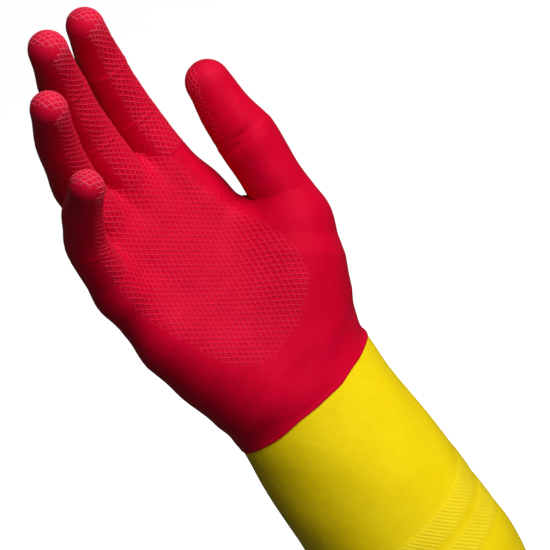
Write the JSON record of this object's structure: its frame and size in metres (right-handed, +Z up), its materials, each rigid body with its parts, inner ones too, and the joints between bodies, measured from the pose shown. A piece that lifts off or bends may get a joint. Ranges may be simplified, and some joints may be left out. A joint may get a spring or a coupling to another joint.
{
  "type": "rubber glove",
  "caption": "Household rubber glove for the right hand, with a red hand dipped over a yellow cuff, a flocked lining and fingers that bend.",
  "frame": {"origin": "centre of the cuff's mouth, in the plane of its rolled bead", "axes": "+Z up the arm towards the fingertips, +X to the thumb's side, -Y out of the palm"},
  "size_m": [0.1103, 0.0898, 0.3163],
  "materials": {
    "red_rubber": "satin red dipped rubber with a moulded grip",
    "yellow_rubber": "satin yellow dipped rubber",
    "flock_lining": "short cotton flock bonded to the inside"
  },
  "bodies": {
    "cuff": {"cuff_hem": "yellow_rubber", "cuff_sleeve": "yellow_rubber", "cuff_lining": "flock_lining"},
    "palm": {"wrist_flex_zone": "red_rubber", "palm_rubber": "red_rubber", "palm_lining": "flock_lining"},
    "index_lower": {"index_root_flex": "red_rubber", "index_base": "red_rubber", "index_base_lining": "flock_lining"},
    "index_mid": {"index_middle_flex": "red_rubber", "index_middle": "red_rubber", "index_middle_lining": "flock_lining"},
    "index_end": {"index_tip_flex": "red_rubber", "index_tip": "red_rubber", "index_tip_lining": "flock_lining"},
    "middle_lower": {"middle_root_flex": "red_rubber", "middle_base": "red_rubber", "middle_base_lining": "flock_lining"},
    "middle_mid": {"middle_middle_flex": "red_rubber", "middle_middle": "red_rubber", "middle_middle_lining": "flock_lining"},
    "middle_end": {"middle_tip_flex": "red_rubber", "middle_tip": "red_rubber", "middle_tip_lining": "flock_lining"},
    "ring_lower": {"ring_root_flex": "red_rubber", "ring_base": "red_rubber", "ring_base_lining": "flock_lining"},
    "ring_mid": {"ring_middle_flex": "red_rubber", "ring_middle": "red_rubber", "ring_middle_lining": "flock_lining"},
    "ring_end": {"ring_tip_flex": "red_rubber", "ring_tip": "red_rubber", "ring_tip_lining": "flock_lining"},
    "little_lower": {"little_root_flex": "red_rubber", "little_base": "red_rubber", "little_base_lining": "flock_lining"},
    "little_mid": {"little_middle_flex": "red_rubber", "little_middle": "red_rubber", "little_middle_lining": "flock_lining"},
    "little_end": {"little_tip_flex": "red_rubber", "little_tip": "red_rubber", "little_tip_lining": "flock_lining"},
    "thumb_lower": {"thumb_root_flex": "red_rubber", "thumb_base": "red_rubber", "thumb_base_lining": "flock_lining"},
    "thumb_end": {"thumb_tip_flex": "red_rubber", "thumb_tip": "red_rubber", "thumb_tip_lining": "flock_lining"}
  },
  "joints": [
    {"name": "wrist_bend", "type": "hinge", "parent": "cuff", "child": "palm", "pos_m": [0, 0, 0.134], "axis": [1, 0, 0], "range_deg": [-20, 35], "stiffness_Nm_per_rad": 0.6, "deforming": ["wrist_flex_zone"]},
    {"name": "index_root_bend", "type": "hinge", "parent": "palm", "child": "index_lower", "pos_m": [0.01237, 0.00994, 0.24895], "axis": [0.9957, -0.0205, 0.0908], "range_deg": [-15, 24], "stiffness_Nm_per_rad": 0.06, "deforming": ["index_root_flex"]},
    {"name": "index_middle_bend", "type": "hinge", "parent": "index_lower", "child": "index_mid", "pos_m": [0.01134, 0.01043, 0.26034], "axis": [0.9957, -0.0205, 0.0908], "range_deg": [-20, 30], "stiffness_Nm_per_rad": 0.04, "deforming": ["index_middle_flex"]},
    {"name": "index_end_bend", "type": "hinge", "parent": "index_mid", "child": "index_end", "pos_m": [0.00902, 0.00411, 0.28433], "axis": [0.9957, -0.0205, 0.0908], "range_deg": [-10.5, 15.5], "deforming": ["index_tip_flex"]},
    {"name": "middle_root_bend", "type": "hinge", "parent": "palm", "child": "middle_lower", "pos_m": [-0.0104, 0.00678, 0.24824], "axis": [0.9879, -0.0447, 0.1483], "range_deg": [-15, 26], "stiffness_Nm_per_rad": 0.06, "deforming": ["middle_root_flex"]},
    {"name": "middle_middle_bend", "type": "hinge", "parent": "middle_lower", "child": "middle_mid", "pos_m": [-0.01261, 0.00461, 0.26232], "axis": [0.9879, -0.0447, 0.1483], "range_deg": [-20, 30], "stiffness_Nm_per_rad": 0.04, "deforming": ["middle_middle_flex"]},
    {"name": "middle_end_bend", "type": "hinge", "parent": "middle_mid", "child": "middle_end", "pos_m": [-0.01688, -0.00752, 0.28711], "axis": [0.9879, -0.0447, 0.1483], "range_deg": [-10.5, 15.5], "deforming": ["middle_tip_flex"]},
    {"name": "ring_root_bend", "type": "hinge", "parent": "palm", "child": "ring_lower", "pos_m": [-0.02994, 0.00354, 0.23826], "axis": [0.9836, -0.021, 0.1789], "range_deg": [-15, 19], "stiffness_Nm_per_rad": 0.06, "deforming": ["ring_root_flex"]},
    {"name": "ring_middle_bend", "type": "hinge", "parent": "ring_lower", "child": "ring_mid", "pos_m": [-0.03229, 0.00046, 0.25084], "axis": [0.9836, -0.021, 0.1789], "range_deg": [-25, 20], "stiffness_Nm_per_rad": 0.04, "deforming": ["ring_middle_flex"]},
    {"name": "ring_end_bend", "type": "hinge", "parent": "ring_mid", "child": "ring_end", "pos_m": [-0.03633, -0.01461, 0.27126], "axis": [0.9836, -0.021, 0.1789], "range_deg": [-13, 10.5], "deforming": ["ring_tip_flex"]},
    {"name": "little_root_bend", "type": "hinge", "parent": "palm", "child": "little_lower", "pos_m": [-0.04526, -0.00471, 0.21995], "axis": [0.963, 0.1323, 0.2347], "range_deg": [-15, 22], "stiffness_Nm_per_rad": 0.06, "deforming": ["little_root_flex"]},
    {"name": "little_middle_bend", "type": "hinge", "parent": "little_lower", "child": "little_mid", "pos_m": [-0.04711, -0.00915, 0.23006], "axis": [0.963, 0.1323, 0.2347], "range_deg": [-27, 28], "stiffness_Nm_per_rad": 0.04, "deforming": ["little_middle_flex"]},
    {"name": "little_end_bend", "type": "hinge", "parent": "little_mid", "child": "little_end", "pos_m": [-0.04832, -0.02296, 0.24281], "axis": [0.963, 0.1323, 0.2347], "range_deg": [-14, 14.5], "deforming": ["little_tip_flex"]},
    {"name": "thumb_root_bend", "type": "hinge", "parent": "palm", "child": "thumb_lower", "pos_m": [0.03145, -0.01034, 0.20353], "axis": [0.621, -0.7816, 0.0588], "range_deg": [-15, 18], "stiffness_Nm_per_rad": 0.08, "deforming": ["thumb_root_flex"]},
    {"name": "thumb_end_bend", "type": "hinge", "parent": "thumb_lower", "child": "thumb_end", "pos_m": [0.03256, -0.00749, 0.2298], "axis": [0.621, -0.7816, 0.0588], "range_deg": [-15, 38], "stiffness_Nm_per_rad": 0.05, "deforming": ["thumb_tip_flex"]}
  ],
  "couplings": [
    {"joint": "index_end_bend", "follows": "index_middle_bend", "ratio": 0.5},
    {"joint": "middle_end_bend", "follows": "middle_middle_bend", "ratio": 0.5},
    {"joint": "ring_end_bend", "follows": "ring_middle_bend", "ratio": 0.5},
    {"joint": "little_end_bend", "follows": "little_middle_bend", "ratio": 0.5}
  ]
}
